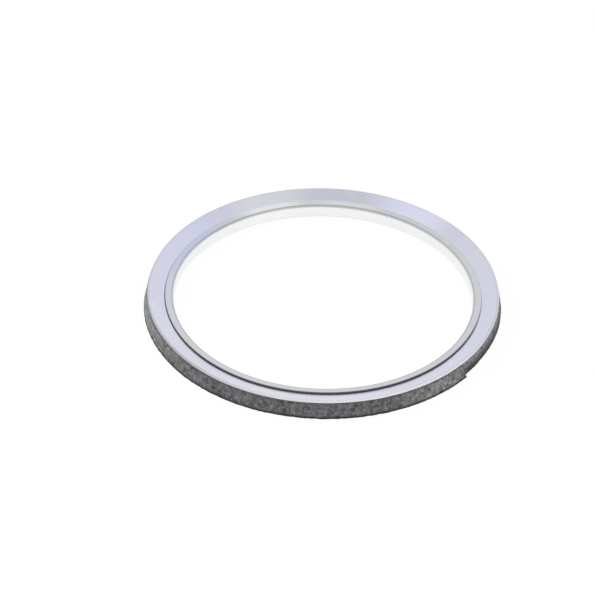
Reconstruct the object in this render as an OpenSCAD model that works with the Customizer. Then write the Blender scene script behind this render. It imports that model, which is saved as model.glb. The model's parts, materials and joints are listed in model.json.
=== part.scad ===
// Exhaust ring gasket: a folded sheet sleeve, a dished cover washer crimped under
// the sleeve's hem, and a fibre strip wound between the two flanges.
// The ring's axis is Z, and the bottom flange lies on Z = 0.

/* [Ring] */
// Diameter of the clear bore
bore_d = 68; // [30:0.5:120]
// Width of the ring, from the bore to the sheared rim of the cover washer
ring_w = 6; // [4.5:0.1:15]
// Height from the bottom flange to the top of the cover washer's rim
ring_h = 4.3; // [3.6:0.1:8]

/* [Sheet metal] */
// Thickness of the sleeve's sheet
sheet_t = 0.4; // [0.3:0.05:0.6]
// Thickness of the cover washer's sheet
cover_t = 0.6; // [0.3:0.05:0.8]
// Inside radius of the bends above and below the bore wall
bend_r = 0.15; // [0.1:0.05:0.5]
// Rounding of the sheet's cut edges
edge_r = 0.05; // [0.03:0.01:0.06]
// Width of the hem, from the bore to the hem's cut edge
hem_w = 1.95; // [1.5:0.05:3]
// Slope of the hem, rising outwards, in degrees
hem_angle = 10; // [2:0.5:16]
// Rounding of the hem's upper edge, where the crimping tool pressed it down
hem_edge_r = 0.28; // [0.1:0.02:0.4]
// How far the bottom flange's edge lies inside the cover washer's rim
flange_inset = 0.9; // [0.5:0.1:1.5]
// Clearance between the pieces
seat_gap = 0.02; // [0.01:0.01:0.05]

/* [Cover washer] */
// Slope of the washer's web outside the hem, rising outwards, in degrees
dish_angle = 18; // [4:0.5:20]

/* [Fibre winding] */
// Thickness of the strip, which is the step at its free end
strip_t = 0.7; // [0.4:0.05:1]
// How far the outer turn's foot stands out past the cover washer's rim
strip_out = 0.8; // [0.3:0.1:1.5]
// How far the outer turn leans in from its foot to its top, in degrees
strip_lean = 12; // [0:1:15]
// Rounding of the outer turn's edges
strip_edge_r = 0.15; // [0.1:0.05:0.6]
// Height of the outer turn's lower edge above the underside of the flange
strip_foot = 0.1; // [0.05:0.05:0.3]
// Direction of the strip's free end, in degrees from +X
strip_end = -37; // [-180:1:180]
// Angle over which the strip climbs from its inner end onto the outer turn, in degrees
strip_climb = 60; // [45:5:180]
// How far the winding has slipped off the ring's axis, towards -Y
winding_slip = 0.25; // [0:0.05:0.5]

/* [Hidden] */

$fn = 180;
steel_colour = [0.80, 0.81, 0.87];
fibre_colour = [0.36, 0.36, 0.37];

// Diameter over the rim of the cover washer, which follows the bore
cover_d = bore_d + 2 * ring_w;

bore_r = bore_d / 2;
cover_r = cover_d / 2;
flange_r = cover_r - flange_inset;
wall_r = bore_r + sheet_t;

// Centre of the bend that turns the bore wall out into the bottom flange
bend_x = wall_r + bend_r;
bend_z = sheet_t + bend_r;

// Centre of the rounding on the rim's upper edge, set by the washer's diameter and the ring's height
edge_span = cover_t - 2 * edge_r;
rim_x = cover_r - edge_r - edge_span * sin(dish_angle);
rim_z = ring_h - edge_r;

// Height, at radius r, of a line parallel to the washer's web that passes that centre at distance d
function web_z(r, d) = rim_z + d / cos(dish_angle) + (r - rim_x) * tan(dish_angle);

// The crimp bent the washer down to the hem's slope, from a kink under the hem's edge inwards
kink_r = bore_r + hem_w + sheet_t * sin(hem_angle);
kink_z = web_z(kink_r, edge_r);
kink_turn = dish_angle - hem_angle;

// Height, at radius r, of a line parallel to the crimped part at distance d above its upper face
function crimp_z(r, d) = kink_z + d / cos(hem_angle) + (r - kink_r) * tan(hem_angle);

// The kink's corner at depth d below the washer's upper face
function kink_corner(d) =
    [kink_r, kink_z] + d / cos(kink_turn / 2) * [sin(hem_angle + kink_turn / 2), -cos(hem_angle + kink_turn / 2)];

// The hem's bend stands over the flange's bend, and the hem lies on the crimped part
hem_z = crimp_z(bend_x, seat_gap - bend_r);
hem_run = (bore_r + hem_w - bend_x) / cos(hem_angle) + (bend_r + sheet_t) * tan(hem_angle);

// The web runs from the rim in to the kink, and the crimped part ends just outside the hem's bend
web_run = (rim_x - edge_r * sin(dish_angle) - kink_r) / cos(dish_angle);
crimp_run = (kink_r - bend_x - seat_gap) / cos(hem_angle);

// A sheet's lower edge rounding fits below this split, and the upper one above it
sheet_split = 1.5 * edge_r;
hem_round = min(hem_edge_r, 0.9 * (sheet_t - sheet_split));

// The climb is an arc that touches the outer turn from the inside and starts one strip further in,
// and it runs on a little under the strip's free end
turn_r = cover_r + strip_out;
climb_shift = strip_t / (1 - cos(strip_climb));
climb_lap = 10;
strip_top = rim_z - edge_span * cos(dish_angle) - edge_r - seat_gap;
strip_half = (strip_top - strip_foot) / (2 * cos(strip_lean));
core_r = bore_r - climb_shift - winding_slip - strip_t;

// A bar along +X on the X axis, with its far upper corner rounded
module bar(run, height, round_r) {
    square([run - round_r, height]);
    translate([run - round_r, 0]) {
        square([round_r, height - round_r]);
        translate([0, height - round_r])
            intersection() {
                circle(round_r);
                square(round_r);
            }
    }
}

// A straight run of sheet along +X, on the X axis, with the edges of its far end rounded
module sheet_run(run, t, top_r = edge_r) {
    translate([0, sheet_split]) {
        bar(run, t - sheet_split, top_r);
        mirror([0, 1]) bar(run, sheet_split, edge_r);
    }
}

// The quadrant to the left of the origin and above it, wider than a bend
module bend_quadrant() {
    reach = 2 * (bend_r + sheet_t);
    translate([-reach, 0]) square(reach);
}

// A quarter bend in the sheet about the origin
module quarter_bend() {
    intersection() {
        difference() {
            circle(bend_r + sheet_t);
            circle(bend_r);
        }
        bend_quadrant();
    }
}

module sleeve_section() {
    translate([bend_x, 0]) sheet_run(flange_r - bend_x, sheet_t);
    translate([bend_x, bend_z]) rotate(90) quarter_bend();
    translate([bore_r, bend_z]) square([sheet_t, hem_z - bend_z]);
    translate([bend_x, hem_z]) {
        // The hem leans up, so its bend is cut short where the bore wall begins
        intersection() {
            rotate(hem_angle) quarter_bend();
            bend_quadrant();
        }
        rotate(hem_angle) translate([0, bend_r]) sheet_run(hem_run, sheet_t, hem_round);
    }
}

module washer_section() {
    half_run = web_run / 2;
    translate([rim_x, rim_z]) rotate(dish_angle) translate([-half_run, edge_r - cover_t]) {
        sheet_run(half_run + edge_r, cover_t);
        inner_end = [-half_run, cover_t] + crimp_run * [-cos(kink_turn), sin(kink_turn)];
        polygon([
            [0, 0],
            [0, sheet_split],
            [0, cover_t],
            [-half_run, cover_t],
            inner_end,
            inner_end - cover_t * [sin(kink_turn), cos(kink_turn)],
            [-half_run - cover_t * tan(kink_turn / 2), 0]
        ]);
    }
}

// Section of the filler out to radius r at its foot, leaning in, with its outer corners rounded
module winding_section(r) {
    translate([r, strip_foot]) rotate(strip_lean) translate([core_r - r, strip_half])
        for (side = [0, 1]) mirror([0, side]) bar(r - core_r, strip_half, strip_edge_r);
}

// Section of the channel between the sheets, open to the outside, which the filler keeps to
module channel_section() {
    inner_r = wall_r + seat_gap;
    outer_r = 2 * cover_r;
    lip_r = flange_r + seat_gap;
    floor_z = sheet_t + seat_gap;
    web_d = cover_t + seat_gap;
    polygon([
        [inner_r, bend_z],
        [bend_x, floor_z],
        [lip_r, floor_z],
        [lip_r, strip_foot],
        [outer_r, strip_foot],
        [outer_r, web_z(outer_r, edge_r - web_d)],
        kink_corner(web_d),
        [inner_r, crimp_z(inner_r, -web_d)]
    ]);
}

// Folded sheet ring: bottom flange, bore wall and the hem crimped over the cover washer
module flanged_sleeve() {
    color(steel_colour) rotate_extrude() sleeve_section();
}

// Dished ring under the hem, with a sheared outer edge
module cover_washer() {
    color(steel_colour) rotate_extrude() washer_section();
}

// Wound strip between the flanges, as one solid, with the step of its free end in the outer face
module fibre_winding() {
    color(fibre_colour) intersection() {
        translate([0, -winding_slip]) rotate(strip_end + strip_climb) {
            rotate_extrude(angle = 360 - strip_climb) winding_section(turn_r);
            translate([climb_shift, 0]) mirror([0, 1])
                rotate_extrude(angle = strip_climb + climb_lap) winding_section(turn_r - climb_shift);
        }
        rotate_extrude() channel_section();
    }
}

flanged_sleeve();
cover_washer();
fibre_winding();
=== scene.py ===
"""Exhaust ring gasket: folded sheet sleeve, dished cover washer and wound fibre strip."""

import json
import logging
import math
import random
from dataclasses import dataclass, field
from enum import Enum
from typing import Callable, Sequence

import bpy
import numpy as np
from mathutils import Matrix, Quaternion, Vector


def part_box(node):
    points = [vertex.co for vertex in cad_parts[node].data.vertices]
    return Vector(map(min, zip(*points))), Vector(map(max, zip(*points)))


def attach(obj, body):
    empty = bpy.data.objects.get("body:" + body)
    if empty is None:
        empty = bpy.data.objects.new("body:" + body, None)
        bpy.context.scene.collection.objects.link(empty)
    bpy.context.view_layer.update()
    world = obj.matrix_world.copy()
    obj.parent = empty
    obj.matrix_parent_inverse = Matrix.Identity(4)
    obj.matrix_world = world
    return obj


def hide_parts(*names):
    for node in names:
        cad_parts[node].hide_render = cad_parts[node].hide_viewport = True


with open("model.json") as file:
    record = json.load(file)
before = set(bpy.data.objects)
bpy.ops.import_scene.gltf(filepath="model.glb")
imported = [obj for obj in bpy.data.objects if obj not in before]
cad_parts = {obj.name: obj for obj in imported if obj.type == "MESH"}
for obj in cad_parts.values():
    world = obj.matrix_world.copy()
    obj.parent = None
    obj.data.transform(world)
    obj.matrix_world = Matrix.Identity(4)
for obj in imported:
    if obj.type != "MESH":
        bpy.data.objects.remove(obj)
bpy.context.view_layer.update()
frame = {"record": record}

LOG = logging.getLogger("gasket")
MM = 0.001
CORNER_SLACK = 0.03 * MM

Obj = bpy.types.Object
Mesh = bpy.types.Mesh
Socket = bpy.types.NodeSocket
Colour = tuple[float, float, float]
Span = tuple[float, float]
RingTest = Callable[[float, float], bool]


class Node(str, Enum):
    """The solids that the visual pieces stand for."""

    SLEEVE = "flanged_sleeve"
    COVER = "cover_washer"
    WINDING = "fibre_winding"


class Slot(str, Enum):
    """The record's material slots."""

    SLEEVE = "sleeve_steel"
    COVER = "cover_steel"
    FIBRE = "fibre"


class Body(str, Enum):
    """The one rigid body of a part without joints."""

    ROOT = "root"


def edit_mode() -> None:
    """Go into edit mode."""
    bpy.ops.object.mode_set(mode="EDIT")


def object_mode() -> None:
    """Go back to object mode."""
    bpy.ops.object.mode_set(mode="OBJECT")


def deselect_everything() -> None:
    """Leave edit mode and clear the selection, which still holds the solids after loading."""
    if bpy.context.object and bpy.context.object.mode != "OBJECT":
        object_mode()
    bpy.ops.object.select_all(action="DESELECT")


def make_active(obj: Obj) -> None:
    """Select one object alone and make it the active one.

    Args:
        obj: The object that the next operators act on.
    """
    deselect_everything()
    obj.select_set(True)
    bpy.context.view_layer.objects.active = obj


def select_rings(obj: Obj, wanted: RingTest) -> None:
    """Select the vertices of a turned mesh by radius and height, and the edges and faces between them.

    Args:
        obj: The object in edit mode, turned about the Z axis.
        wanted: Says for a radius and a height in metres whether a vertex is selected.
    """
    object_mode()
    mesh = obj.data
    places = vertex_places(mesh)
    radii = np.hypot(places[:, 0], places[:, 1])
    chosen = np.array([wanted(r, z) for r, z in zip(radii, places[:, 2])], dtype=bool)
    ends = read_all(mesh.edges, "vertices", 2, np.int32)
    mesh.vertices.foreach_set("select", chosen)
    mesh.edges.foreach_set("select", chosen[ends].all(axis=1))
    mesh.polygons.foreach_set("select", np.zeros(len(mesh.polygons), dtype=bool))
    edit_mode()


def read_all(
    items: bpy.types.bpy_prop_collection, name: str, width: int, kind: type = float
) -> np.ndarray:
    """Read one property of all of a mesh's vertices, edges or corners.

    Args:
        items: The vertices, edges or corners.
        name: The property.
        width: How many numbers it has.
        kind: The type of the numbers.

    Returns:
        One row for each item.
    """
    values = np.empty(width * len(items), dtype=kind)
    items.foreach_get(name, values)
    return values.reshape(-1, width)


def vertex_places(mesh: Mesh) -> np.ndarray:
    """Read a row of X, Y and Z for each vertex of a mesh, in metres."""
    return read_all(mesh.vertices, "co", 3)


def move_vertices(mesh: Mesh, places: np.ndarray) -> None:
    """Put a mesh's vertices in new places, given as a row for each."""
    mesh.vertices.foreach_set("co", places.ravel())
    mesh.update()


def apply_modifier(obj: Obj, kind: str, **settings: object) -> None:
    """Add a modifier, set it up and apply it.

    Args:
        obj: The object to change, in object mode.
        kind: The modifier's type.
        settings: The modifier's own values.
    """
    make_active(obj)
    modifier = obj.modifiers.new(kind.title(), kind)
    for name, value in settings.items():
        setattr(modifier, name, value)
    bpy.ops.object.modifier_apply(modifier=modifier.name)


def add_group(obj: Obj, name: str, weights: Sequence[float]) -> None:
    """Give an object a vertex group.

    Args:
        obj: The object, in object mode.
        name: The group's name.
        weights: One weight for each vertex.
    """
    group = obj.vertex_groups.new(name=name)
    for index, weight in enumerate(weights):
        if weight > 0:
            group.add([index], float(weight), "REPLACE")


def displace(
    obj: Obj, name: str, grain: float, strength: float, mid_level: float, depth: int = 2, **settings: object
) -> None:
    """Press a soft noise into a surface.

    Args:
        obj: The object, in object mode.
        name: The noise's name.
        grain: The size of its lumps, in metres.
        strength: How far it moves the surface, in metres.
        mid_level: The noise's level that moves nothing.
        depth: How many finer layers the noise adds.
        settings: The modifier's other values.
    """
    cloud = bpy.data.textures.new(name, "CLOUDS")
    cloud.noise_scale = grain
    cloud.noise_depth = depth
    settings |= {"texture": cloud, "texture_coords": "LOCAL", "strength": strength, "mid_level": mid_level}
    apply_modifier(obj, "DISPLACE", **settings)


def heading(angle: float) -> Vector:
    """Direction in the floor's plane at an angle from +X."""
    return Vector((math.cos(angle), math.sin(angle), 0.0))


def turn_profile(name: str, profile: Sequence[tuple[float, float]], segments: int) -> Obj:
    """Draw a ring out of a circle, one extruded loop for each point of a profile.

    Args:
        name: The new object's name.
        profile: Radius and height of each loop, in metres.
        segments: How many edges each loop has.

    Returns:
        The object, in edit mode, with its last loop selected.
    """
    deselect_everything()
    (radius, height), *others = profile
    bpy.ops.mesh.primitive_circle_add(vertices=segments, radius=radius, fill_type="NOTHING")
    obj = bpy.context.object
    obj.name = obj.data.name = name
    edit_mode()
    bpy.ops.mesh.select_mode(type="VERT")
    bpy.ops.mesh.select_all(action="SELECT")
    bpy.ops.transform.translate(value=(0, 0, height))
    for next_radius, next_height in others:
        bpy.ops.mesh.extrude_region_move(
            TRANSFORM_OT_translate={"value": (0, 0, next_height - height)},
        )
        bpy.ops.transform.resize(
            value=(next_radius / radius, next_radius / radius, 1),
            center_override=(0, 0, next_height),
        )
        radius, height = next_radius, next_height
    return obj


def round_rings(obj: Obj, wanted: RingTest, width: float, segments: int) -> None:
    """Round the edge loops of a turned mesh.

    Args:
        obj: The object, in edit mode.
        wanted: Picks the loops by radius and height.
        width: How far the rounding reaches along the faces on both sides, in metres.
        segments: The steps of the rounding.
    """
    bpy.ops.mesh.select_mode(type="EDGE")
    select_rings(obj, wanted)
    bpy.ops.mesh.bevel(offset=width, offset_type="OFFSET", segments=segments, profile=0.5, affect="EDGES")


def near(r: float, z: float, tolerance: float = 0.01 * MM) -> RingTest:
    """Make a test for one loop.

    Args:
        r: The loop's radius, in metres.
        z: The loop's height, in metres.
        tolerance: How far off a vertex may lie.

    Returns:
        The test.
    """
    return lambda radius, height: abs(radius - r) < tolerance and abs(height - z) < tolerance


def thicken(obj: Obj, thickness: float) -> None:
    """Give a turned middle surface its thickness.

    Args:
        obj: The surface, in edit mode, where it stays.
        thickness: The sheet's thickness, in metres.
    """
    bpy.ops.mesh.select_all(action="SELECT")
    bpy.ops.mesh.normals_make_consistent(inside=False)
    object_mode()
    apply_modifier(obj, "SOLIDIFY", thickness=thickness, offset=0.0, use_even_offset=True)
    edit_mode()


def settle(obj: Obj, sharp_angle: float = math.radians(35)) -> None:
    """Merge doubles, turn the faces outwards and shade the piece smoothly between its sharp edges.

    Args:
        obj: The finished mesh.
        sharp_angle: Edges that fold further than this stay sharp.
    """
    make_active(obj)
    edit_mode()
    bpy.ops.mesh.select_all(action="SELECT")
    bpy.ops.mesh.remove_doubles(threshold=0.0005 * MM)
    bpy.ops.mesh.normals_make_consistent(inside=False)
    object_mode()
    bpy.ops.object.shade_smooth_by_angle(angle=sharp_angle)


class ShaderGraph:
    """The nodes of a material or of the world, added and linked by short calls."""

    def __init__(self, owner: bpy.types.Material | bpy.types.World, output: str = "OutputMaterial") -> None:
        """Start with nothing but the output.

        Args:
            owner: The material or the world.
            output: The output's type, without its common prefix.
        """
        owner.use_nodes = True
        self.owner = owner
        self.tree = owner.node_tree
        self.tree.nodes.clear()
        self.output = self.add(output)

    def add(
        self, kind: str, inputs: dict[str | int, object] | None = None, **settings: object
    ) -> bpy.types.Node:
        """Add a node.

        Args:
            kind: The node's type, without its common prefix.
            inputs: Constants, or sockets to link, by input name or number.
            settings: The node's own properties.

        Returns:
            The node.
        """
        node = self.tree.nodes.new(f"ShaderNode{kind}")
        for name, value in settings.items():
            setattr(node, name, value)
        for name, value in (inputs or {}).items():
            if isinstance(value, Socket):
                self.tree.links.new(value, node.inputs[name])
            else:
                node.inputs[name].default_value = value
        return node

    def math(self, operation: str, first: object, second: object = 0.0, third: object = 0.0) -> Socket:
        """Add a Math node and return its value."""
        return self.add("Math", {0: first, 1: second, 2: third}, operation=operation).outputs[0]

    def blend(self, factor: object, low: object, high: object) -> Socket:
        """Mix two colours.

        Args:
            factor: The share of the second colour.
            low: The colour, or the socket, that shows at 0.
            high: The colour, or the socket, that shows at 1.

        Returns:
            The mixed colour.
        """
        node = self.add("Mix", {"Factor": factor}, data_type="RGBA")
        for name, value in (("A_Color", low), ("B_Color", high)):
            socket = next(s for s in node.inputs if s.identifier == name)
            if isinstance(value, Socket):
                self.tree.links.new(value, socket)
            else:
                socket.default_value = (*value, 1.0)
        return next(s for s in node.outputs if s.identifier == "Result_Color")

    def span(
        self, value: object, low: float, high: float, to_low: float = 0.0, to_high: float = 1.0
    ) -> Socket:
        """Map a value from one span to another along a smooth step, and return it."""
        inputs = {"Value": value, "From Min": low, "From Max": high, "To Min": to_low, "To Max": to_high}
        return self.add("MapRange", inputs, interpolation_type="SMOOTHSTEP").outputs["Result"]

    def noise(self, vector: object, scale: float, detail: float = 2.0, roughness: float = 0.5) -> Socket:
        """Add a noise texture and return its value."""
        inputs = {"Vector": vector, "Scale": scale, "Detail": detail, "Roughness": roughness}
        return self.add("TexNoise", inputs).outputs["Fac"]

    def surface(self, shader: bpy.types.Node) -> None:
        """Join a shader to the output."""
        self.tree.links.new(shader.outputs[0], self.output.inputs["Surface"])


class RingGraph(ShaderGraph):
    """The nodes of a sheet's material, with each point's place about the ring's axis."""

    def __init__(self, name: str) -> None:
        """Start the material and find a point's height, its distance from the axis and its direction.

        Args:
            name: The material's name.
        """
        super().__init__(bpy.data.materials.new(name))
        self.place = self.add("TexCoord").outputs["Object"]
        axes = self.add("SeparateXYZ", {"Vector": self.place}).outputs
        flat = self.add("CombineXYZ", {"X": axes["X"], "Y": axes["Y"]}).outputs[0]
        self.height = axes["Z"]
        self.radius = self.add("VectorMath", {0: flat}, operation="LENGTH").outputs["Value"]
        self.angle = self.math("ARCTAN2", axes["Y"], axes["X"])


@dataclass(frozen=True)
class RingBand:
    """A soft ring of another tint on a sheet, which may fade on the side away from a direction. Its tint
    paints shade or a highlight along the ring; the worn ring uses its mask alone, to make the sheet matte
    there.
    """

    inner: float
    outer: float
    colour: Colour
    strength: float
    blur: float = 0.06 * MM
    # Direction, in degrees, where the band is strongest, for painted shade that falls more on one side.
    towards: float | None = None
    fade: Span = (-0.85, -0.45)

    def mask(self, graph: RingGraph) -> Socket:
        """Say how much of the band there is.

        Args:
            graph: The sheet's nodes.

        Returns:
            The band's strength inside it, and 0 outside.
        """
        rise = graph.span(graph.radius, self.inner - self.blur, self.inner + self.blur)
        fall = graph.span(graph.radius, self.outer - self.blur, self.outer + self.blur, self.strength, 0.0)
        share = graph.math("MULTIPLY", rise, fall)
        if self.towards is None:
            return share
        facing = graph.math("COSINE", graph.math("SUBTRACT", graph.angle, math.radians(self.towards)))
        return graph.math("MULTIPLY", share, graph.span(facing, *self.fade))


@dataclass(frozen=True)
class PaintedLightSector:
    """A soft patch of another tint round one direction of a sheet: painted reflections, shade and
    highlights.
    """

    direction: float
    spread: float
    colour: Colour
    strength: float
    core: float = 0.25

    def mask(self, graph: RingGraph) -> Socket:
        """Say how much of the patch there is.

        Args:
            graph: The sheet's nodes.

        Returns:
            The patch's strength at its middle, fading to 0 at its ends.
        """
        turned = graph.math("SUBTRACT", graph.angle, math.radians(self.direction))
        aside = graph.math("ABSOLUTE", graph.math("WRAP", turned, math.pi, -math.pi))
        spread = math.radians(self.spread)
        return graph.span(aside, self.core * spread, spread, self.strength, 0.0)


@dataclass(frozen=True)
class SheetFinish:
    """Bright pressed sheet steel: concentric drawn lines, faint tinted stains, matte cut faces, and painted
    reflections, shade and highlights in fixed rings and directions.
    """

    name: str
    colour: Colour
    stain: Colour
    pale: Colour
    # Painted rings of shade and highlight round the axis.
    painted_light_bands: tuple[RingBand, ...]
    # Painted reflections in fixed directions round the ring.
    painted_reflections: tuple[PaintedLightSector, ...] = ()
    worn: RingBand | None = None
    cut_line: Span | None = None
    # Painted shade and a painted highlight on the cut faces, in fixed directions.
    cut_face_painted_light: tuple[PaintedLightSector, ...] = ()
    matte_colour: Colour = (0.74, 0.74, 0.75)
    roughness: float = 0.24
    gloss_spread: float = 0.06
    stain_grain: float = 14 * MM
    stain_span: Span = (0.35, 0.65)
    cloud_grain: float = 14 / 3.1 * MM
    cloud_span: Span = (0.52, 0.72)
    line_pitch: float = 0.35 * MM
    line_depth: float = 0.0015 * MM
    nick_grain: float = 0.5 * MM
    cut_fade: Span = (0.02 * MM, 0.07 * MM)

    def material(self) -> bpy.types.Material:
        """Make the finish's material.

        Returns:
            A metal whose tint and gloss vary in stains, with lines round the ring's axis, and whose tint
            carries painted reflections, shade and highlights.
        """
        graph = RingGraph(self.name)
        stains = graph.noise(graph.place, 1 / self.stain_grain, 3.0, 0.55)
        clouds = graph.noise(graph.place, 1 / self.cloud_grain, 2.0)
        tint = graph.blend(graph.span(stains, *self.stain_span), self.colour, self.stain)
        tint = graph.blend(graph.span(clouds, *self.cloud_span, 0.0, 0.8), tint, self.pale)
        # Lay the painted reflections, then the painted rings of shade and highlight, on the tint.
        for patch in (*self.painted_reflections, *self.painted_light_bands):
            tint = graph.blend(patch.mask(graph), tint, patch.colour)

        ring = graph.add("CombineXYZ", {"X": graph.radius, "Y": graph.height, "Z": stains}).outputs[0]
        lines = graph.noise(ring, 1 / self.line_pitch, 4.0, 0.7)
        gloss = graph.math("MULTIPLY_ADD", lines, self.gloss_spread, self.roughness - self.gloss_spread / 2)
        gloss = graph.math("MULTIPLY_ADD", clouds, self.gloss_spread, gloss)
        relief = graph.add("Bump", {"Height": lines, "Strength": 0.2, "Distance": self.line_depth})

        metal = graph.add(
            "BsdfPrincipled",
            {"Metallic": 1.0, "Base Color": tint, "Roughness": gloss, "Normal": relief.outputs[0]},
        )
        nicks = graph.noise(graph.place, 1 / self.nick_grain, 3.0, 0.7)
        nicks = graph.blend(nicks, self.pale, self.matte_colour)
        # Paint shade and a highlight on the cut faces by direction.
        for patch in self.cut_face_painted_light:
            nicks = graph.blend(patch.mask(graph), nicks, patch.colour)
        matte = graph.add("BsdfPrincipled", {"Metallic": 0.2, "Base Color": nicks, "Roughness": 0.5})
        rough = self.matte_share(graph)
        graph.surface(graph.add("MixShader", {0: rough, 1: metal.outputs[0], 2: matte.outputs[0]}))
        return graph.owner

    def matte_share(self, graph: RingGraph) -> Socket | float:
        """Say where the sheet is worn or cut.

        Args:
            graph: The sheet's nodes.

        Returns:
            The share of matte surface.
        """
        if self.worn is not None:
            return self.worn.mask(graph)
        if self.cut_line is None:
            return 0.0
        slope, level = self.cut_line
        face = graph.math("MULTIPLY_ADD", graph.radius, slope, level)
        return graph.span(graph.math("SUBTRACT", face, graph.height), *self.cut_fade)


@dataclass(frozen=True)
class FibreFinish:
    """Matted grey fibre: pale flecks across the strip, with painted shade in the pits, under the rim, at
    the free end and along a darker foot, and painted light on a few stretches.
    """

    name: str
    dark: Colour
    middle: Colour
    light: Colour
    pale: Colour
    # The exposed inner turn's own lighter tint, which also paints a sheen there.
    inner_wrap_tint_and_sheen: Colour
    length: float
    height: float
    foot_z: float
    top_z: float
    # Painted shade colours, for the pits and for the strip's foot.
    pit_shade: Colour = (0.014, 0.014, 0.015)
    foot: Colour = (0.018, 0.018, 0.019)
    # Painted light: two stretches of the strip, round a share of its length and near its free end, get more
    # pale flecks and are lightened.
    pale_along: float = 0.60
    pale_reach: Span = (0.02, 0.15)
    pale_end: Span = (0.90, 0.98)
    # Painted shade at the strip's free end.
    end_shade: Span = (0.982, 1.0)
    wrap_end: Span = (0.06, 0.13)
    # Where the painted shade along the foot falls from tall to low, and its heights.
    foot_shade_fall: Span = (0.16, 0.24)
    foot_shade_tops: Span = (2.5 * MM, 0.9 * MM)
    # Depth of the painted shadow under the rim.
    rim_shadow_depth: float = 0.35 * MM
    pit_span: Span = (0.50, 0.74)
    mottle_grain: float = 1.3 * MM
    mottle_span: Span = (0.38, 0.62)
    fleck_tilt: float = math.radians(38)
    flecks_per_mm: Span = (1.5, 1.0)
    fleck_span: Span = (0.47, 0.70)
    grain: float = 0.22 * MM
    grain_depth: float = 0.03 * MM
    roughness: float = 0.92

    def material(self) -> bpy.types.Material:
        """Make the finish's material.

        Returns:
            A matte fibre whose colour, painted shade and painted light follow the pits and the strip's own
            unrolled map.
        """
        graph = ShaderGraph(bpy.data.materials.new(self.name))
        place = graph.add("TexCoord").outputs["Object"]
        height = graph.add("SeparateXYZ", {"Vector": place}).outputs["Z"]
        unrolled = graph.add("UVMap", uv_map="unrolled").outputs["UV"]
        along = graph.add("SeparateXYZ", {"Vector": unrolled}).outputs["X"]
        colour = self.fleck_colour(graph, place, unrolled, along)
        # The exposed inner turn: its own lighter tint, with a painted sheen.
        colour = graph.blend(graph.span(along, *self.wrap_end, 0.65, 0.0), colour, self.inner_wrap_tint_and_sheen)
        # Painted shade at the strip's free end.
        colour = graph.blend(graph.span(along, *self.end_shade, 0.0, 0.6), colour, self.dark)
        # Painted shade in the pits, deeper pits darker.
        pits = graph.add("Attribute", attribute_name="pit_depth").outputs["Fac"]
        colour = graph.blend(graph.span(pits, *self.pit_span, 0.0, 0.8), colour, self.pit_shade)
        # Painted shadow under the cover washer's rim, along the strip's top.
        top = graph.span(height, self.top_z - self.rim_shadow_depth, self.top_z, 0.0, 0.6)
        colour = graph.blend(top, colour, self.dark)
        # Painted shade along the strip's foot, taller on the first part of the strip.
        foot_shade_top = graph.span(along, *self.foot_shade_fall, *self.foot_shade_tops)
        foot = graph.math("DIVIDE", graph.math("SUBTRACT", height, self.foot_z), foot_shade_top)
        colour = graph.blend(graph.span(foot, 0.30, 1.0, 0.88, 0.0), colour, self.foot)

        grain = graph.noise(place, 1 / self.grain, 2.0, 0.6)
        relief = graph.add("Bump", {"Height": grain, "Strength": 0.5, "Distance": self.grain_depth})
        cloth = graph.add(
            "BsdfPrincipled",
            {
                "Base Color": colour,
                "Roughness": self.roughness,
                "Normal": relief.outputs[0],
                "Specular IOR Level": 0.25,
                "Sheen Weight": 0.12,
            },
        )
        graph.surface(cloth)
        return graph.owner

    def fleck_colour(self, graph: ShaderGraph, place: Socket, unrolled: Socket, along: Socket) -> Socket:
        """Mottle the fibre and lay slanting flecks on it, more and paler ones in two stretches, and paint
        light on those stretches by lightening them as a whole.

        Args:
            graph: The material's nodes.
            place: Place on the piece.
            unrolled: Place on the strip's unrolled map.
            along: Share of the strip's length.

        Returns:
            The colour.
        """
        mottle = graph.noise(place, 1 / self.mottle_grain, 3.0, 0.6)
        colour = graph.blend(graph.span(mottle, *self.mottle_span), self.dark, self.middle)
        millimetres = (self.length / MM, self.height / MM, 1.0)
        strip = graph.add("Mapping", {"Vector": unrolled, "Scale": millimetres}).outputs[0]
        fibres = graph.add(
            "Mapping",
            {"Vector": strip, "Rotation": (0, 0, self.fleck_tilt), "Scale": (*self.flecks_per_mm, 1.0)},
        )
        flecks = graph.noise(fibres.outputs[0], 1.0, 2.0, 0.55)
        # Painted light: the two stretches get more pale flecks and are lightened as a whole.
        aside = graph.math("ABSOLUTE", graph.math("SUBTRACT", along, self.pale_along))
        far_side = graph.span(aside, *self.pale_reach, 1.0, 0.0)
        flecked_lit_stretch = graph.math("ADD", graph.span(along, *self.pale_end), far_side)
        flecks = graph.math("MULTIPLY_ADD", flecked_lit_stretch, 0.05, flecks)
        fleck = graph.blend(flecked_lit_stretch, self.light, self.pale)
        colour = graph.blend(graph.span(flecks, *self.fleck_span, 0.0, 0.80), colour, fleck)
        return graph.blend(graph.math("MULTIPLY", flecked_lit_stretch, 0.25), colour, self.pale)


@dataclass(frozen=True)
class StrandFinish:
    """Pale loose fibre."""

    name: str
    dark: Colour
    light: Colour
    grain: float = 0.8 * MM

    def material(self) -> bpy.types.Material:
        """Make the finish's material.

        Returns:
            A matte fibre that goes from dark to light over a few tenths of a millimetre.
        """
        graph = ShaderGraph(bpy.data.materials.new(self.name))
        place = graph.add("TexCoord").outputs["Object"]
        shade = graph.span(graph.noise(place, 1 / self.grain, 2.0), 0.35, 0.65)
        colour = graph.blend(shade, self.dark, self.light)
        inputs = {"Base Color": colour, "Roughness": 0.85, "Specular IOR Level": 0.3}
        graph.surface(graph.add("BsdfPrincipled", inputs))
        return graph.owner


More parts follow.
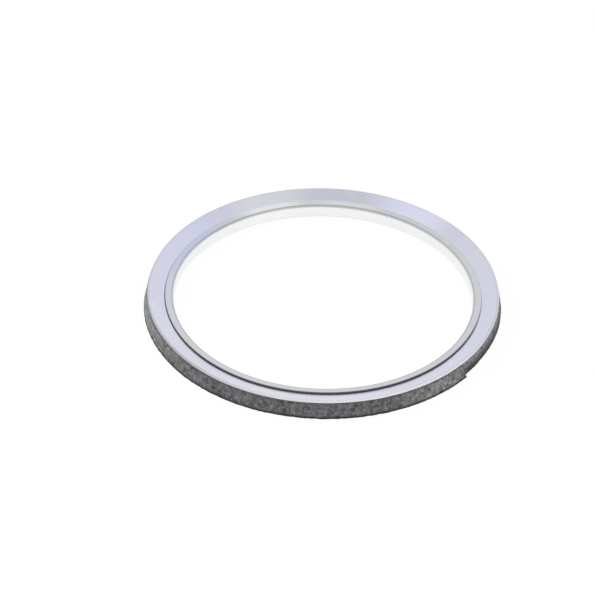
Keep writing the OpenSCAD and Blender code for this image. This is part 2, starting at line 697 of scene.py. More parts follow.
@dataclass(frozen=True)
class FloorFinish:
    """White paper that keeps a faint shadow."""

    name: str = "white_paper"
    shadow_share: float = 0.05
    paper: Colour = (0.96, 0.96, 0.96)

    def material(self) -> bpy.types.Material:
        """Make the floor's material.

        Returns:
            A white surface, mostly even where it is seen and matte where it bounces light.
        """
        graph = ShaderGraph(bpy.data.materials.new(self.name))
        rays = graph.add("LightPath")
        seen = graph.math("MAXIMUM", rays.outputs["Is Camera Ray"], rays.outputs["Is Glossy Ray"])
        seen = graph.math("MAXIMUM", seen, rays.outputs["Is Transmission Ray"])
        even = graph.add("Emission", {"Color": (1.0, 1.0, 1.0, 1.0), "Strength": 1.0})
        paper = graph.add("BsdfDiffuse", {"Color": (*self.paper, 1.0)})
        shown = graph.add("MixShader", {0: self.shadow_share, 1: even.outputs[0], 2: paper.outputs[0]})
        graph.surface(graph.add("MixShader", {0: seen, 1: paper.outputs[0], 2: shown.outputs[0]}))
        return graph.owner


@dataclass
class RingSizes:
    """The gasket's section, in metres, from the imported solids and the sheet's own gauge."""

    bore_r: float
    cover_r: float
    flange_r: float
    height: float
    sheet: float = 0.4 * MM
    cover_sheet: float = 0.6 * MM
    bend_in: float = 0.15 * MM
    edge: float = 0.05 * MM
    hem_width: float = 1.95 * MM
    hem_slope: float = math.radians(10)
    hem_edge: float = 0.28 * MM
    seat_gap: float = 0.02 * MM
    dish: float = math.radians(18)
    segments: int = 720

    @classmethod
    def from_frame(cls) -> "RingSizes":
        """Read the ring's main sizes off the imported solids.

        Returns:
            The sizes.
        """
        bore = next(m for m in frame["record"]["mounts"] if m["kind"] == "bore")
        cover_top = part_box(Node.COVER.value)[1]
        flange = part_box(Node.SLEEVE.value)[1]
        return cls(bore["dims"]["r_mm"] * MM, cover_top[0], flange[0], cover_top[2])

    @property
    def bend_x(self) -> float:
        """Radius of the bends' centres."""
        return self.bore_r + self.sheet + self.bend_in

    @property
    def rim_x(self) -> float:
        """Radius of the rounding on the cover washer's upper edge, at its centre."""
        return self.cover_r - self.edge - (self.cover_sheet - 2 * self.edge) * math.sin(self.dish)

    @property
    def rim_z(self) -> float:
        """Height of the rounding on the cover washer's upper edge, at its centre."""
        return self.height - self.edge

    def web_z(self, r: float, above: float) -> float:
        """Height of a line parallel to the dished web.

        Args:
            r: The radius, in metres.
            above: The line's distance above the centre of the rim's upper rounding, square to the web.

        Returns:
            The height, in metres.
        """
        return self.rim_z + above / math.cos(self.dish) + (r - self.rim_x) * math.tan(self.dish)

    @property
    def kink_r(self) -> float:
        """Radius of the kink where the crimp bent the washer down, on its upper face."""
        return self.bore_r + self.hem_width + self.sheet * math.sin(self.hem_slope)

    def crimp_z(self, r: float, above: float) -> float:
        """Height of a line parallel to the washer's crimped part.

        Args:
            r: The radius, in metres.
            above: The line's distance above the crimped part's upper face, square to it.

        Returns:
            The height, in metres.
        """
        kink_z = self.web_z(self.kink_r, self.edge)
        return kink_z + above / math.cos(self.hem_slope) + (r - self.kink_r) * math.tan(self.hem_slope)

    def kink_corner(self, depth: float) -> tuple[float, float]:
        """Place of the kink below the washer's upper face.

        Args:
            depth: The distance below that face, square to it.

        Returns:
            Radius and height, in metres.
        """
        slope = (self.dish + self.hem_slope) / 2
        reach = depth / math.cos((self.dish - self.hem_slope) / 2)
        kink_z = self.crimp_z(self.kink_r, 0.0)
        return self.kink_r + reach * math.sin(slope), kink_z - reach * math.cos(slope)

    @property
    def hem_z(self) -> float:
        """Height of the centre of the hem's bend."""
        return self.crimp_z(self.bend_x, self.seat_gap - self.bend_in)


@dataclass
class FlangedSleeve:
    """The folded ring: bottom flange, bore wall and the hem crimped over the cover washer."""

    sizes: RingSizes
    finish: SheetFinish
    wave: float = 0.03 * MM
    wave_grain: float = 9 * MM
    wave_rise: float = 0.5 * MM

    def build(self) -> Obj:
        """Model the sheet's middle surface, fold it, and give it its thickness and its edges.

        Returns:
            The sleeve.
        """
        s = self.sizes
        half = s.sheet / 2
        wall_r = s.bore_r + half
        mid_bend = s.bend_in + half
        fold_z = self.hem_middle(wall_r)
        end_r = s.bore_r + s.hem_width + half * math.sin(s.hem_slope)
        obj = turn_profile(
            "sleeve",
            [(s.flange_r, half), (wall_r, half), (wall_r, fold_z), (end_r, self.hem_middle(end_r))],
            s.segments,
        )
        round_rings(obj, near(wall_r, half), mid_bend, 8)
        round_rings(obj, near(wall_r, fold_z), mid_bend * math.tan((math.pi / 2 - s.hem_slope) / 2), 8)
        thicken(obj, s.sheet)
        self.round_edges(obj, end_r)
        self.crimp(obj)
        settle(obj)
        apply_modifier(obj, "WEIGHTED_NORMAL", keep_sharp=True, weight=80)
        return obj

    def hem_middle(self, r: float) -> float:
        """Height of the hem's middle surface at a radius."""
        s = self.sizes
        return s.crimp_z(r, s.seat_gap + s.sheet / 2)

    def round_edges(self, obj: Obj, end_r: float) -> None:
        """Round the hem's pressed upper edge and break the other cut edges.

        Args:
            obj: The sleeve with its thickness, in edit mode.
            end_r: Radius at which the hem's middle surface ends.
        """
        s = self.sizes
        half = s.sheet / 2
        lean = half * math.sin(s.hem_slope)
        rise = half * math.cos(s.hem_slope)
        end_z = self.hem_middle(end_r)
        round_rings(obj, near(end_r - lean, end_z + rise, CORNER_SLACK), s.hem_edge, 7)
        round_rings(obj, near(end_r + lean, end_z - rise, CORNER_SLACK), s.edge, 2)
        round_rings(obj, near(s.flange_r, 0.0), s.edge, 2)
        round_rings(obj, near(s.flange_r, s.sheet), s.edge, 2)
        object_mode()

    def crimp(self, obj: Obj) -> None:
        """Lift the hem a little here and there, as the crimping tool left it.

        Args:
            obj: The sleeve.
        """
        s = self.sizes
        places = vertex_places(obj.data)
        add_group(obj, "hem", np.clip((places[:, 2] - s.hem_z) / self.wave_rise, 0.0, 1.0))
        displace(obj, "crimp_wave", self.wave_grain, self.wave, 0.0, 1, direction="Z", vertex_group="hem")

    def dress(self, obj: Obj) -> None:
        """Give the sleeve its finish and its place in the frame."""
        dress_piece(obj, self.finish.material(), Node.SLEEVE)


@dataclass
class CoverWasher:
    """The dished ring under the hem, with a sheared rim."""

    sizes: RingSizes
    finish: SheetFinish
    loops: int = 5
    shoulder: float = 0.2 * MM
    burr: float = 0.03 * MM
    burr_grain: float = 0.7 * MM

    def build(self) -> Obj:
        """Model the washer's middle surface, give it its thickness and shear its rim.

        Returns:
            The washer.
        """
        s = self.sizes
        half = s.cover_sheet / 2
        kink = s.kink_corner(half)
        inner_r = s.bend_x + s.seat_gap + half * math.sin(s.hem_slope)
        outer_r = s.rim_x + s.edge * math.cos(s.dish) + (half - s.edge) * math.sin(s.dish)
        web = [kink[0] + (outer_r - kink[0]) * i / self.loops for i in range(1, self.loops + 1)]
        inner = (inner_r, s.crimp_z(inner_r, -half))
        profile = [inner, kink] + [(r, s.web_z(r, s.edge - half)) for r in web]
        obj = turn_profile("cover", profile, s.segments)
        thicken(obj, s.cover_sheet)
        for (r, z), slope, upper in ((inner, s.hem_slope, s.edge), (profile[-1], s.dish, self.shoulder)):
            lean, rise = half * math.sin(slope), half * math.cos(slope)
            round_rings(obj, near(r - lean, z + rise, CORNER_SLACK), upper, 6)
            round_rings(obj, near(r + lean, z - rise, CORNER_SLACK), s.edge, 2)
        object_mode()
        self.shear(obj)
        settle(obj)
        apply_modifier(obj, "WEIGHTED_NORMAL", keep_sharp=True, weight=80)
        return obj

    def shear(self, obj: Obj) -> None:
        """Roughen the rim's cut face.

        Args:
            obj: The washer.
        """
        s = self.sizes
        places = vertex_places(obj.data)
        radii = np.hypot(places[:, 0], places[:, 1])
        add_group(obj, "rim", np.clip((radii - s.rim_x) / (2 * s.edge), 0.0, 1.0))
        displace(obj, "shear_burr", self.burr_grain, self.burr, 1.0, vertex_group="rim")

    def dress(self, obj: Obj) -> None:
        """Give the washer its finish and its place in the frame."""
        dress_piece(obj, self.finish.material(), Node.COVER)


@dataclass
class FibreWinding:
    """The wound strip: inner turns as one core, and the outer turn with its free end."""

    sizes: RingSizes
    slip: float = 0.25 * MM
    strip: float = 0.7 * MM
    stand_out: float = 0.8 * MM
    lean: float = math.radians(12)
    foot: float = 0.1 * MM
    corner: float = 0.15 * MM
    end: float = math.radians(-37)
    hold: float = math.radians(10)
    climb: float = math.radians(55)
    lap: float = math.radians(3)
    slant: float = math.radians(1.8)
    slant_reach: float = math.radians(6)
    steps: int = 400
    cuts: int = 2
    rows: int = 16
    lumps: float = 0.10 * MM
    lump_grain: float = 3.0 * MM
    pits: float = 0.16 * MM
    pit_grain: float = 0.9 * MM
    proud: float = 0.45
    core_lean: float = 0.8 * MM
    core_foot: float = 0.2 * MM
    floor_gap: float = 0.02 * MM

    @property
    def turn_r(self) -> float:
        """Radius of the outer turn, about the slipped axis."""
        return self.sizes.cover_r + self.stand_out

    @property
    def top(self) -> float:
        """Height of the strip's upper edge."""
        s = self.sizes
        return s.rim_z - (s.cover_sheet - 2 * s.edge) * math.cos(s.dish) - s.edge - s.seat_gap

    @property
    def axis(self) -> Vector:
        """The winding's own axis, slipped off the ring's."""
        return Vector((0, -self.slip, 0))

    @property
    def climb_shift(self) -> float:
        """How far the climb's centre lies from the winding's axis."""
        return self.strip / (1 - math.cos(self.climb))

    @property
    def climb_axis(self) -> Vector:
        """Centre of the arc on which the strip climbs from its inner end onto the outer turn."""
        return self.axis + self.climb_shift * heading(self.end + self.hold + self.climb)

    def build(self) -> Obj:
        """Model the core and the outer turn and join them.

        Returns:
            The winding.
        """
        core = self.build_core()
        strip = self.build_strip()
        make_active(strip)
        core.select_set(True)
        bpy.ops.object.join()
        strip.name = strip.data.name = "winding"
        return strip

    def build_core(self) -> Obj:
        """Turn the inner turns between the two sheets, with the spiral's step in their outer face.

        Returns:
            The core.
        """
        s = self.sizes
        wall_r = s.bore_r + s.sheet + s.seat_gap
        floor_z = s.sheet + s.seat_gap
        foot_z = self.foot + self.core_foot
        lip_r = s.flange_r + s.seat_gap
        bottom_r = self.turn_r - self.strip
        top_r = bottom_r - self.core_lean
        under = s.cover_sheet + s.seat_gap
        first = (wall_r, s.crimp_z(wall_r, -under))
        last = s.kink_corner(under)
        obj = turn_profile(
            "core",
            [
                first,
                (wall_r, s.sheet + s.bend_in),
                (s.bend_x, floor_z),
                (lip_r, floor_z),
                (lip_r + s.seat_gap / 2, foot_z),
                (bottom_r, foot_z),
                (top_r, s.web_z(top_r, s.edge - under)),
                last,
            ],
            s.segments,
        )
        object_mode()
        places = vertex_places(obj.data)
        radii = np.hypot(places[:, 0], places[:, 1])
        for ring_r in (bottom_r, top_r):
            for index in np.flatnonzero(np.abs(radii - ring_r) < 0.002 * MM):
                angle = math.atan2(places[index, 1], places[index, 0])
                radius = self.inside_r(angle) - (bottom_r - ring_r)
                places[index, :2] = radius * math.cos(angle), radius * math.sin(angle)
                if ring_r == top_r:
                    places[index, 2] = s.web_z(radius, s.edge - under)
        move_vertices(obj.data, places)
        edit_mode()
        bpy.ops.mesh.select_mode(type="EDGE")
        select_rings(obj, lambda r, z: near(*first)(r, z) or near(*last)(r, z))
        bpy.ops.mesh.bridge_edge_loops()
        object_mode()
        settle(obj)
        self.map_strip(obj)
        self.keep_depth(obj, np.zeros(len(obj.data.vertices)))
        return obj

    def inside_r(self, angle: float) -> float:
        """Distance from the ring's axis to the inside of the outer turn, at its foot.

        Args:
            angle: Direction from the ring's axis, in radians.

        Returns:
            The radius, in metres.
        """
        along = (angle - self.end) % (2 * math.pi)
        climbs = self.hold <= along < self.hold + self.climb
        centre = self.climb_axis if climbs else self.axis
        step = self.climb_shift if climbs else self.strip * (along < self.hold)
        radius = self.turn_r - self.strip - step
        reach = centre.dot(heading(angle))
        return reach + math.sqrt(reach * reach - centre.dot(centre) + radius * radius)

    def build_strip(self) -> Obj:
        """Sweep the strip up its climb and once round the winding, and roughen it.

        Returns:
            The outer turn.
        """
        deselect_everything()
        height = self.top - self.foot
        bpy.ops.mesh.primitive_plane_add(size=1)
        obj = bpy.context.object
        obj.name = obj.data.name = "outer_turn"
        edit_mode()
        bpy.ops.mesh.select_all(action="SELECT")
        bpy.ops.transform.resize(value=(self.strip, height, 1), center_override=(0, 0, 0))
        object_mode()
        self.stand_section(obj)
        edit_mode()
        self.round_section(obj)
        bpy.ops.mesh.select_all(action="SELECT")
        rest = 2 * math.pi - self.hold - self.climb - self.slant_reach
        self.sweep(self.axis, self.lap + self.hold)
        self.sweep(self.climb_axis, self.climb)
        self.sweep(self.axis, rest)
        self.slant_end(obj)
        self.divide_along(obj)
        self.keep_in_channel(obj)
        settle(obj, math.radians(60))
        self.map_strip(obj)
        self.roughen(obj)
        return obj

    def sweep(self, centre: Vector, angle: float) -> None:
        """Draw the selected section on along an arc.

        Args:
            centre: The arc's centre.
            angle: How far it goes, in radians.
        """
        steps = round(self.steps * angle / (2 * math.pi))
        bpy.ops.mesh.spin(steps=steps, angle=angle, center=centre, axis=(0, 0, -1), use_auto_merge=False)

    def slant_end(self, obj: Obj) -> None:
        """Sweep the last piece to the free end, and draw its foot on so that the cut slants.

        Args:
            obj: The strip so far, in edit mode, with its last section selected.
        """
        object_mode()
        before = len(obj.data.vertices)
        edit_mode()
        self.sweep(self.axis, self.slant_reach)
        object_mode()
        places = vertex_places(obj.data)
        for index in range(before, len(places)):
            away = Vector(places[index]) - self.axis
            angle = math.atan2(away.y, away.x)
            share = 1 - math.remainder(self.end - angle, 2 * math.pi) / self.slant_reach
            depth = (self.top - away.z) / (self.top - self.foot)
            turned = angle + self.slant * share * depth
            places[index, :2] = (self.axis + math.hypot(away.x, away.y) * heading(turned))[:2]
        move_vertices(obj.data, places)
        edit_mode()

    def divide_along(self, obj: Obj) -> None:
        """Divide the swept strip more finely along its length.

        Args:
            obj: The swept strip, in edit mode.
        """
        bpy.ops.mesh.select_all(action="DESELECT")
        object_mode()
        mesh = obj.data
        places = vertex_places(mesh)
        first, second = places[read_all(mesh.edges, "vertices", 2, np.int32).T]
        turned = np.abs(first[:, 0] * second[:, 1] - first[:, 1] * second[:, 0]) / self.turn_r**2
        mesh.edges.foreach_set("select", turned > math.pi / self.steps)
        edit_mode()
        bpy.ops.mesh.select_mode(type="EDGE")
        bpy.ops.mesh.subdivide(number_cuts=self.cuts)
        object_mode()

    def stand_section(self, obj: Obj) -> None:
        """Stand the flat section up at the strip's inner end, leaning in towards its top.

        Args:
            obj: The flat section, which lies about the origin.
        """
        places = vertex_places(obj.data)
        height = self.top - self.foot
        above = places[:, 1] + height / 2
        radius = self.turn_r - 1.5 * self.strip + places[:, 0] - above * math.tan(self.lean)
        out = heading(self.end - self.lap)
        stood = np.outer(radius, out) + np.array(self.axis)
        stood[:, 2] = self.foot + above
        move_vertices(obj.data, stood)

    def round_section(self, obj: Obj) -> None:
        """Round the section's outer corners and divide its long sides.

        Args:
            obj: The section, in edit mode.
        """
        object_mode()
        mesh = obj.data
        places = vertex_places(mesh)
        reach = places @ np.array(heading(self.end - self.lap))
        for level in (self.foot, self.top):
            row = np.flatnonzero(np.abs(places[:, 2] - level) < 0.01 * MM)
            mesh.vertices[int(row[np.argmax(reach[row])])].select = True
            mesh.vertices[int(row[np.argmin(reach[row])])].select = False
        mesh.edges.foreach_set("select", np.zeros(len(mesh.edges), dtype=bool))
        mesh.polygons.foreach_set("select", np.zeros(len(mesh.polygons), dtype=bool))
        edit_mode()
        bpy.ops.mesh.select_mode(type="VERT")
        bpy.ops.mesh.bevel(offset=self.corner, offset_type="OFFSET", segments=4, affect="VERTICES")
        bpy.ops.mesh.select_mode(type="EDGE")
        object_mode()
        places = vertex_places(mesh)
        for edge in mesh.edges:
            a, b = (places[i] for i in edge.vertices)
            edge.select = bool(abs(a[2] - b[2]) > (self.top - self.foot) / 2)
        edit_mode()
        bpy.ops.mesh.subdivide(number_cuts=self.rows)

    def keep_in_channel(self, obj: Obj) -> None:
        """Hold the strip off the sleeve's flange and off the underside of the cover washer.

        Args:
            obj: The swept strip.
        """
        s = self.sizes
        places = vertex_places(obj.data)
        radii = np.hypot(places[:, 0], places[:, 1])
        low = places[:, 2] < s.sheet + 2 * s.seat_gap
        grow = np.where(low, np.maximum(1.0, (s.flange_r + 2 * s.seat_gap) / radii), 1.0)
        places[:, :2] *= grow[:, None]
        ceiling = np.array([s.web_z(r, s.edge - s.cover_sheet - s.seat_gap) for r in radii])
        places[:, 2] = np.minimum(places[:, 2], ceiling)
        move_vertices(obj.data, places)

    def map_strip(self, obj: Obj) -> None:
        """Unroll a piece of the winding into a map of its own, along the strip and up it.

        Args:
            obj: The piece.
        """
        mesh = obj.data
        places = vertex_places(mesh)
        away = places[:, :2] - np.array(self.axis)[:2]
        along = np.mod(np.arctan2(away[:, 1], away[:, 0]) - self.end, 2 * math.pi)
        reach = np.hypot(away[:, 0], away[:, 1])
        lean = (places[:, 2] - self.foot) * math.tan(self.lean)
        along[(along < 1e-3) & (reach + lean > self.turn_r - self.strip)] = 2 * math.pi
        inside = reach + lean < self.turn_r - 0.9 * self.strip
        along[inside & (along > 2 * math.pi - self.lap - 0.1)] = 0.0
        unrolled = np.stack([along / (2 * math.pi), places[:, 2] / self.sizes.height], axis=1)
        layer = mesh.uv_layers.new(name="unrolled")
        corners = read_all(mesh.loops, "vertex_index", 1, np.int32)
        layer.data.foreach_set("uv", unrolled[corners].ravel())

    def roughen(self, obj: Obj) -> None:
        """Press lumps and pits into the strip's surface and keep their depth for the finish.

        Args:
            obj: The swept strip.
        """
        mesh = obj.data
        before = vertex_places(mesh)
        normals = read_all(mesh.vertices, "normal", 3)
        displace(obj, "strip_lumps", self.lump_grain, self.lumps, 1.0 - self.proud)
        displace(obj, "strip_pits", self.pit_grain, self.pits, 1.0 - self.proud)
        after = vertex_places(mesh)
        lift = ((after - before) * normals).sum(axis=1) / (self.lumps + self.pits)
        after[:, 2] = np.maximum(after[:, 2], self.floor_gap)
        move_vertices(mesh, after)
        self.keep_in_channel(obj)
        self.keep_depth(obj, self.proud - lift)

    def keep_depth(self, obj: Obj, depth: np.ndarray) -> None:
        """Keep how deep each vertex lies below the strip's proudest fibres.

        Args:
            obj: The piece.
            depth: One value for each vertex, 0 at the top and 1 at the bottom of the deepest pit.
        """
        attribute = obj.data.attributes.new("pit_depth", "FLOAT", "POINT")
        attribute.data.foreach_set("value", depth.astype(np.float32))

    def dress(self, obj: Obj, finish: FibreFinish) -> None:
        """Give the winding its finish and its place in the frame.

        Args:
            obj: The winding.
            finish: Its finish, which knows the strip's own length and height.
        """
        dress_piece(obj, finish.material(), Node.WINDING)


@dataclass
class LooseFibres:
    """Short fibres that lie on the outer turn, and a few that stick out of the strip's free end."""

    winding: FibreWinding
    finish: StrandFinish
    count: int = 260
    frayed: int = 9
    thickness: float = 0.032 * MM
    lengths: Span = (0.5 * MM, 1.5 * MM)
    frayed_lengths: Span = (0.25 * MM, 0.6 * MM)
    lift: float = 0.06 * MM
    reach: float = 5 * MM
    seed: int = 11

    def build(self, turn: Obj) -> Obj:
        """Draw the fibres as thin curves on the outer turn and turn them into a mesh.

        Args:
            turn: The finished winding, which the fibres lie on.

        Returns:
            The fibres.
        """
        rng = random.Random(self.seed)
        bpy.context.view_layer.update()
        curve = bpy.data.curves.new("loose_fibres", "CURVE")
        curve.dimensions = "3D"
        curve.bevel_depth = self.thickness
        curve.bevel_resolution = 0
        curve.use_fill_caps = True
        for _ in range(self.count):
            self.add_strand(curve, self.lay(turn, rng), rng.uniform(0.6, 1.5))
        for _ in range(self.frayed):
            self.add_strand(curve, self.fray(rng), rng.uniform(0.5, 0.9))
        obj = bpy.data.objects.new("loose_fibres", curve)
        bpy.context.scene.collection.objects.link(obj)
        make_active(obj)
        bpy.ops.object.convert(target="MESH")
        obj = bpy.context.object
        settle(obj, math.radians(80))
        return obj

    def lay(self, turn: Obj, rng: random.Random) -> list[Vector]:
        """Lay one fibre on the outer face.

        Args:
            turn: The winding.
            rng: The source of its place and direction.

        Returns:
            The fibre's points.
        """
        w = self.winding
        length = rng.uniform(*self.lengths)
        tilt = rng.gauss(math.radians(40), math.radians(45))
        angle = rng.uniform(0.0, 2 * math.pi)
        middle = rng.uniform(w.foot + 0.5 * MM, w.top - 0.3 * MM)
        curl = rng.uniform(-0.5, 0.5)
        points = []
        for step in (-0.5, -0.2, 0.1, 0.35, 0.5):
            turned = tilt + curl * step
            height = min(max(middle + length * step * math.sin(turned), w.foot + 0.2 * MM), w.top)
            way = heading(angle + length * step * math.cos(turned) / w.turn_r)
            start = w.axis + way * (w.turn_r + 0.6 * self.reach) + Vector((0, 0, height))
            hit, place, normal, _ = turn.ray_cast(start, -way, distance=self.reach)
            if not hit:
                return []
            points.append(place + normal * (0.25 - abs(step)) * self.lift)
        return points

    def fray(self, rng: random.Random) -> list[Vector]:
        """Draw one fibre out of the strip's free end.

        Args:
            rng: The source of its place and direction.

        Returns:
            The fibre's points.
        """
        w = self.winding
        height = rng.uniform(w.foot + 0.4 * MM, w.top - 0.5 * MM)
        inside = (height - w.foot) * math.tan(w.lean) + rng.uniform(0.15, 0.55) * MM
        length = rng.uniform(*self.frayed_lengths)
        droop = rng.uniform(-0.15, 0.15) * MM
        points = []
        for step in (-0.6, 0.0, 0.5, 1.0):
            way = heading(w.end + length * step / w.turn_r)
            out = w.turn_r - inside - 0.1 * MM * max(step, 0.0) ** 2
            points.append(w.axis + way * out + Vector((0, 0, height + droop * max(step, 0.0))))
        return points

    def add_strand(self, curve: bpy.types.Curve, points: Sequence[Vector], width: float) -> None:
        """Add a fibre to the curve.

        Args:
            curve: The curve.
            points: The fibre's points.
            width: Its thickness at the middle, as a share of the usual one.
        """
        if len(points) < 3:
            return
        spline = curve.splines.new("POLY")
        spline.points.add(len(points) - 1)
        for index, (point, place) in enumerate(zip(spline.points, points)):
            share = index / (len(points) - 1)
            point.co = (*place, 1.0)
            point.radius = width * (0.35 + 0.65 * math.sin(math.pi * share))

    def dress(self, obj: Obj) -> None:
        """Give the fibres their finish and their body."""
        dress_piece(obj, self.finish.material(), None)


def dress_piece(obj: Obj, material: bpy.types.Material, node: Node | None) -> None:
    """Give a piece its material and its body.

    Args:
        obj: The piece.
        material: Its finish.
        node: The solid that the piece stands for, if it has one.
    """
    obj.data.materials.clear()
    obj.data.materials.append(material)
    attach(obj, Body.ROOT.value)
    if node is not None:
        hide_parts(node.value)
    LOG.info("%s: %d faces in %s", obj.name, len(obj.data.polygons), material.name)


@dataclass(frozen=True)
class PhotoView:
    """A long lens that looks down on the ring from its front."""

    distance: float = 0.720
    elevation: float = math.radians(37.57)
    roll: float = math.radians(1.1)
    focal_px: float = 3158.5
    frame_px: tuple[int, int] = (595, 600)
    ring_px: tuple[float, float] = (322.95, 304.57)
    sensor: float = 36.0

    def build(self) -> Obj:
        """Add the camera.

        Returns:
            The camera, which is the scene's own from now on.
        """
        data = bpy.data.cameras.new("photo_view")
        data.sensor_fit = "HORIZONTAL"
        data.sensor_width = self.sensor
        data.lens = self.sensor * self.focal_px / self.frame_px[0]
        data.clip_start = 0.01
        camera = bpy.data.objects.new("photo_view", data)
        bpy.context.scene.collection.objects.link(camera)
        place = self.distance * Vector((0, -math.cos(self.elevation), math.sin(self.elevation)))
        turn = Quaternion((0, 0, 1), self.roll)
        level = (-place).to_track_quat("-Z", "Y") @ turn
        aside = [(r - f / 2) * self.distance / self.focal_px for r, f in zip(self.ring_px, self.frame_px)]
        target = level @ Vector((-aside[0], aside[1], 0))
        camera.location = place
        camera.rotation_mode = "QUATERNION"
        camera.rotation_quaternion = (target - place).to_track_quat("-Z", "Y") @ turn
        bpy.context.scene.camera = camera
        return camera


@dataclass(frozen=True)
class Lamp:
    """A soft lamp that points at the ring and doesn't mirror in the sheet."""

    name: str
    place: tuple[float, float, float]
    size: float
    power: float

    def build(self) -> Obj:
        """Add the lamp.

        Returns:
            The lamp.
        """
        data = bpy.data.lights.new(self.name, "AREA")
        data.shape = "SQUARE"
        data.size = self.size
        data.energy = self.power
        lamp = bpy.data.objects.new(self.name, data)
        bpy.context.scene.collection.objects.link(lamp)
        lamp.location = self.place
        lamp.rotation_mode = "QUATERNION"
        lamp.rotation_quaternion = (-Vector(self.place)).to_track_quat("-Z", "Y")
        lamp.visible_glossy = False
        return lamp


@dataclass(frozen=True)
class Studio:
    """White paper under the ring, a pale room that is dimmer on the camera's side, and soft lamps."""

    floor_half: float = 2.0
    room: tuple[tuple[float, float], ...] = (
        (-1.0, 0.50),
        (-0.15, 0.50),
        (0.08, 0.62),
        (0.28, 0.80),
        (0.55, 0.94),
        (0.79, 0.98),
        (1.0, 1.0),
    )
    lamps: tuple[Lamp, ...] = (
        Lamp("left_fill", (-0.75, 0.00, 0.50), 0.6, 3.4),
        Lamp("overhead", (0.20, 0.25, 0.85), 0.5, 1.2),
        Lamp("front_key", (0.45, -0.68, 0.42), 0.5, 2.4),
    )
    floor: FloorFinish = field(default_factory=FloorFinish)

    def build(self) -> None:
        """Add the floor, the room and the lamps."""
        self.add_floor()
        self.add_room()
        for lamp in self.lamps:
            lamp.build()

    def add_floor(self) -> None:
        """Lay the paper at the ring's foot."""
        deselect_everything()
        bpy.ops.mesh.primitive_plane_add(size=2 * self.floor_half, location=(0, 0, 0))
        floor = bpy.context.object
        floor.name = floor.data.name = "paper_floor"
        floor.data.materials.append(self.floor.material())

    def add_room(self) -> None:
        """Shade the room from its back to its front, and leave it white behind the ring."""
        bpy.context.scene.world = world = bpy.data.worlds.new("pale_room")
        graph = ShaderGraph(world, "OutputWorld")
        direction = graph.add("TexCoord").outputs["Generated"]
        back = graph.add("SeparateXYZ", {0: direction}).outputs["Y"]
        share = graph.add("MapRange", {"Value": back, "From Min": -1.0}).outputs["Result"]
        ramp = graph.add("ValToRGB", {"Fac": share})
        stops = ramp.color_ramp.elements
        while len(stops) < len(self.room):
            stops.new(0.5)
        for stop, (y, level) in zip(stops, self.room):
            stop.position = (y + 1) / 2
            stop.color = (level, level, level, 1.0)
        dim = graph.add("Background", {"Color": ramp.outputs["Color"]})
        white = graph.add("Background", {"Color": (1.0, 1.0, 1.0, 1.0)})
        seen = graph.add("LightPath").outputs["Is Camera Ray"]
        graph.surface(graph.add("MixShader", {0: seen, 1: dim.outputs[0], 2: white.outputs[0]}))


def sleeve_finish(sizes: RingSizes) -> SheetFinish:
    """Choose the sleeve's finish: bright steel, a painted reflection that makes the bore pale, dark lines
    of painted shade at its bend and its cut edge, and painted reflections round the ring.

    Args:
        sizes: The ring's sizes.

    Returns:
        The finish.
    """
    bore = sizes.bore_r
    hem_end = bore + sizes.hem_width
    return SheetFinish(
        "sleeve_steel",
        colour=(0.625, 0.635, 0.65),
        stain=(0.61, 0.62, 0.66),
        pale=(0.65, 0.655, 0.665),
        painted_light_bands=(
            # Painted reflection: the bore wall painted pale.
            RingBand(0.0, bore + 0.10 * MM, (0.93, 0.935, 0.94), 0.9),
            # Painted shade at the bends.
            RingBand(bore + 0.27 * MM, bore + 0.50 * MM, (0.26, 0.27, 0.29), 0.6),
            # Painted shade along the hem's cut edge, strongest towards the left front.
            RingBand(hem_end - 0.09 * MM, hem_end + sizes.sheet, (0.10, 0.105, 0.13), 0.8, 0.03 * MM, 215),
        ),
        # Painted reflections in fixed directions.
        painted_reflections=(
            PaintedLightSector(82, 18, (0.72, 0.74, 0.745), 0.9),
            PaintedLightSector(112, 18, (0.84, 0.84, 0.86), 0.9),
            PaintedLightSector(180, 34, (0.62, 0.64, 0.76), 0.7),
            PaintedLightSector(150, 28, (0.55, 0.565, 0.75), 0.8),
        ),
        worn=RingBand(bore + 0.03 * MM, bore + 0.28 * MM, (0.93, 0.93, 0.93), 0.5, 0.02 * MM),
    )


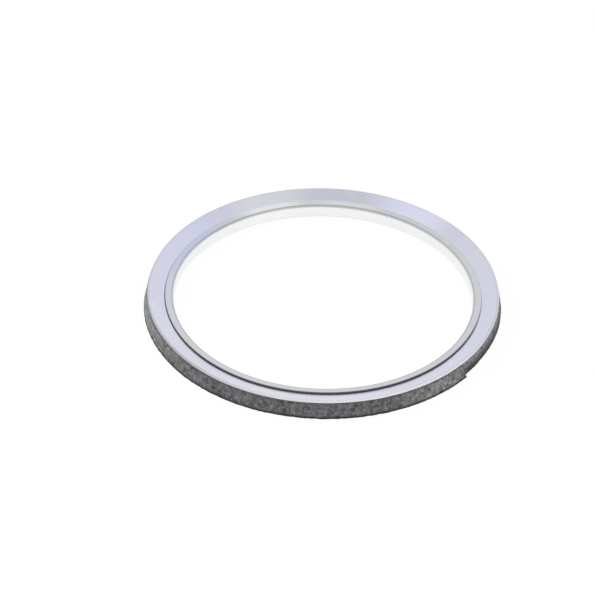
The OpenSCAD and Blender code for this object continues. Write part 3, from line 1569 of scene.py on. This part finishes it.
def cover_finish(sizes: RingSizes) -> SheetFinish:
    """Choose the cover washer's finish: bluish steel, a dark line of painted shade in the crease beside the
    hem, painted shade towards the rim, painted reflections round the ring, and a matte cut rim with painted
    shade and a painted highlight.

    Args:
        sizes: The ring's sizes.

    Returns:
        The finish.
    """
    return SheetFinish(
        "cover_steel",
        colour=(0.69, 0.70, 0.785),
        stain=(0.66, 0.67, 0.80),
        pale=(0.72, 0.73, 0.775),
        painted_light_bands=(
            # Painted shade in the crease beside the hem, strongest towards the left front.
            RingBand(0.0, sizes.kink_r + 0.08 * MM, (0.11, 0.115, 0.14), 0.8, 0.03 * MM, 215),
            # Painted shade towards the rim.
            RingBand(sizes.cover_r - 0.6 * MM, sizes.cover_r + 1 * MM, (0.46, 0.47, 0.53), 0.3, 0.25 * MM),
        ),
        # Painted reflections in fixed directions.
        painted_reflections=(
            PaintedLightSector(0, 34, (0.65, 0.66, 0.785), 0.7),
            PaintedLightSector(58, 20, (0.80, 0.82, 1.0), 0.9),
            PaintedLightSector(112, 20, (0.80, 0.82, 0.86), 0.8),
            PaintedLightSector(148, 30, (0.665, 0.69, 0.87), 0.9),
            PaintedLightSector(266, 44, (0.77, 0.78, 0.85), 0.9),
        ),
        cut_line=(math.tan(sizes.dish), sizes.web_z(0.0, sizes.edge)),
        # Painted shade on the cut rim at the left and right, and a painted highlight at the front.
        cut_face_painted_light=(
            PaintedLightSector(198, 60, (0.34, 0.35, 0.36), 0.85),
            PaintedLightSector(350, 30, (0.45, 0.46, 0.48), 0.5),
            PaintedLightSector(285, 38, (0.95, 0.95, 0.96), 0.4),
        ),
    )


def fibre_finish(winding: FibreWinding) -> FibreFinish:
    """Choose the strip's finish, which follows its own length and height.

    Args:
        winding: The wound strip.

    Returns:
        The finish.
    """
    return FibreFinish(
        "grey_fibre",
        dark=(0.078, 0.077, 0.082),
        middle=(0.142, 0.141, 0.148),
        light=(0.225, 0.224, 0.23),
        pale=(0.34, 0.342, 0.338),
        inner_wrap_tint_and_sheen=(0.26, 0.265, 0.285),
        length=2 * math.pi * winding.turn_r,
        height=winding.sizes.height,
        foot_z=winding.foot,
        top_z=winding.top,
    )


def main() -> None:
    """Build the scene and the gasket's pieces in order."""
    logging.basicConfig(level=logging.INFO, format="%(name)s: %(message)s")
    bpy.context.scene.view_settings.view_transform = "Standard"
    PhotoView().build()
    Studio().build()

    sizes = RingSizes.from_frame()
    for piece in (FlangedSleeve(sizes, sleeve_finish(sizes)), CoverWasher(sizes, cover_finish(sizes))):
        piece.dress(piece.build())
    winding = FibreWinding(sizes)
    turn = winding.build()
    winding.dress(turn, fibre_finish(winding))
    pale_fibre = StrandFinish("pale_fibre", dark=(0.14, 0.14, 0.145), light=(0.32, 0.32, 0.325))
    fibres = LooseFibres(winding, pale_fibre)
    fibres.dress(fibres.build(turn))


if __name__ == "__main__":
    main()
